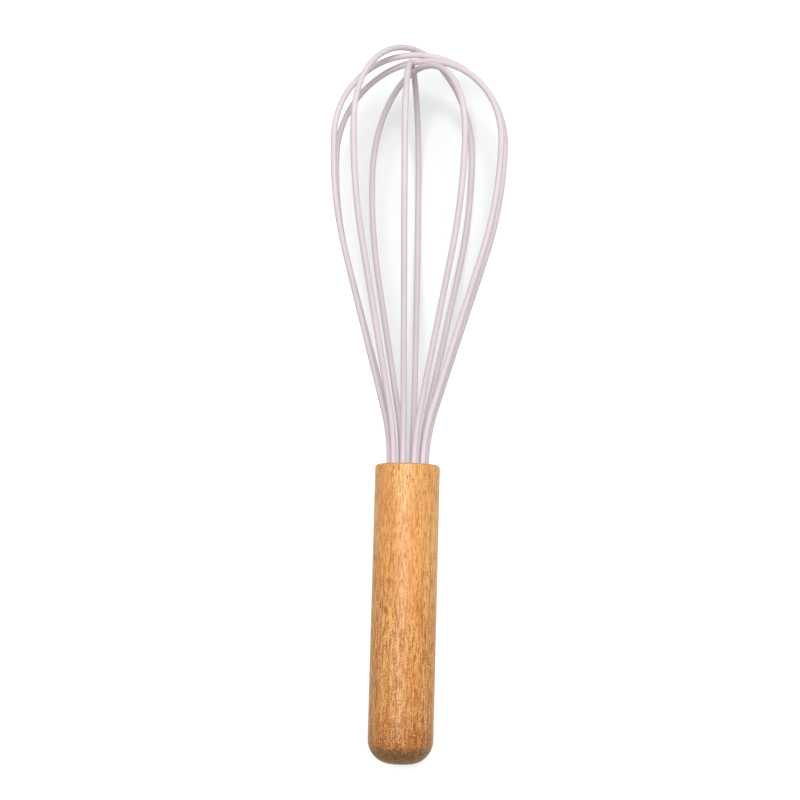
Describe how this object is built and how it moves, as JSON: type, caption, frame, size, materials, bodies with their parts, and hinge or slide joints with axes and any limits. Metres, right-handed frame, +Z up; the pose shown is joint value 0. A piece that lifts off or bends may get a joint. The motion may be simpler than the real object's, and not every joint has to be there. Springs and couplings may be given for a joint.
{
  "type": "whisk",
  "caption": "Balloon whisk: silicone covered steel wire loops that cross at the tip, set in a plain turned beech handle with a rounded butt.",
  "frame": {"origin": "on the surface that the whisk lies on, under the centre of its box", "axes": "+Z up from the surface, +Y along the whisk from the butt towards the tip, +X to the right when looking along +Y. The whisk lies on its side, on the lower edge of its butt and on two neighbouring wires, so its own axis rises towards the tip by 5.8 degrees"},
  "size_m": [0.0696, 0.2692, 0.0692],
  "materials": {
    "beech": "turned and sanded, satin oil",
    "holder_plastic": "moulded, matte",
    "resin": "cast epoxy",
    "steel_wire": "drawn wire",
    "silicone": "smooth, matte"
  },
  "bodies": {
    "root": {"handle": "beech", "wire_holder": "holder_plastic", "resin_plug": "resin", "wire_core_1": "steel_wire", "wire_core_2": "steel_wire", "wire_core_3": "steel_wire", "wire_core_4": "steel_wire", "wire_core_5": "steel_wire", "silicone_sleeve_1": "silicone", "silicone_sleeve_2": "silicone", "silicone_sleeve_3": "silicone", "silicone_sleeve_4": "silicone", "silicone_sleeve_5": "silicone"}
  },
  "joints": []
}
